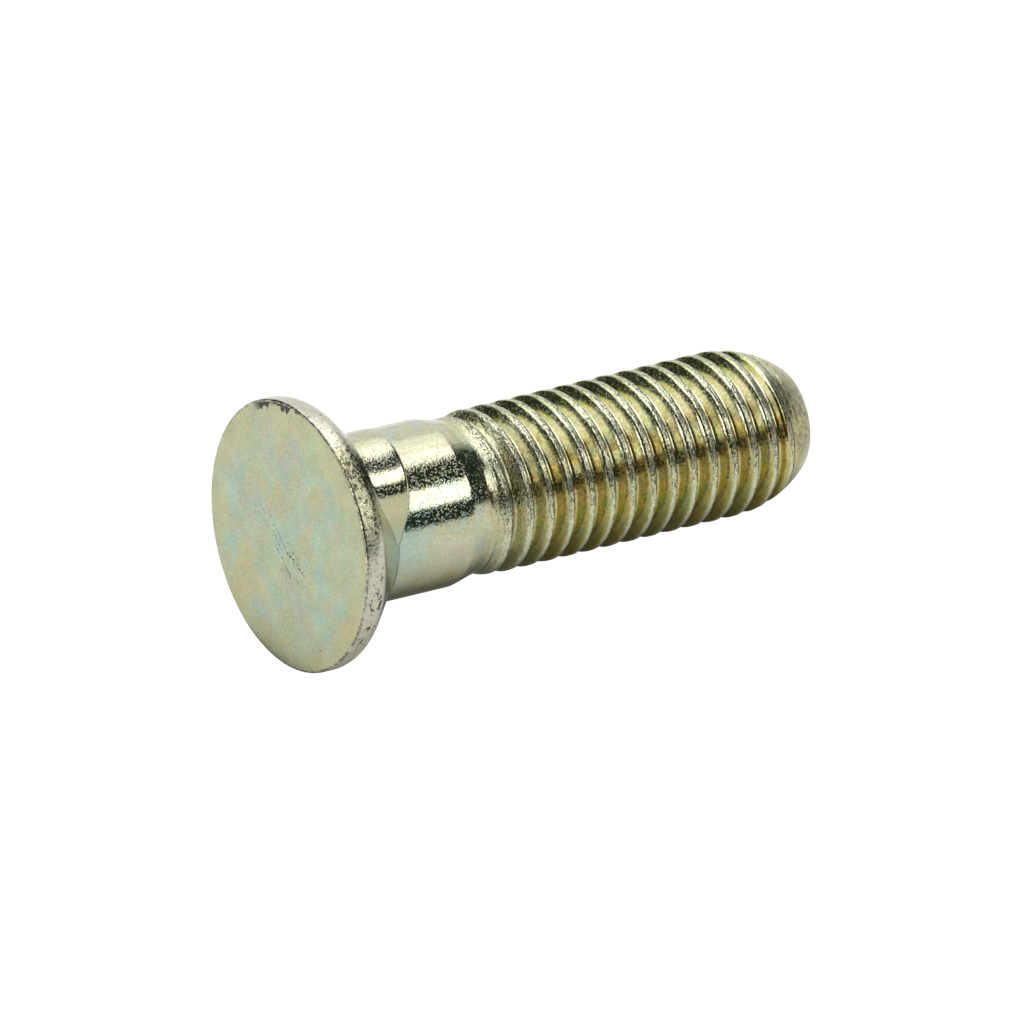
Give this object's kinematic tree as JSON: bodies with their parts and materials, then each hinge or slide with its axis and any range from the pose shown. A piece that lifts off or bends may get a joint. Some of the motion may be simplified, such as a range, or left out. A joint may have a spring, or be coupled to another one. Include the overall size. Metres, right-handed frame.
{
  "type": "plough bolt",
  "caption": "Flat countersunk bolt with an oval anti-turn shoulder and a rolled M12 thread, for a plough's wearing parts.",
  "frame": {"origin": "centre of the head's flat face, on which the bolt stands", "axes": "+Z along the shank from the flat face to the thread's end, X along the oval shoulder's long side"},
  "size_m": [0.0198, 0.0198, 0.042],
  "materials": {
    "plated_steel": "zinc plated with a pale yellow iridescent chromate, smooth forged head and neck, rolled thread"
  },
  "bodies": {
    "root": {"plough_bolt": "plated_steel"}
  },
  "joints": []
}
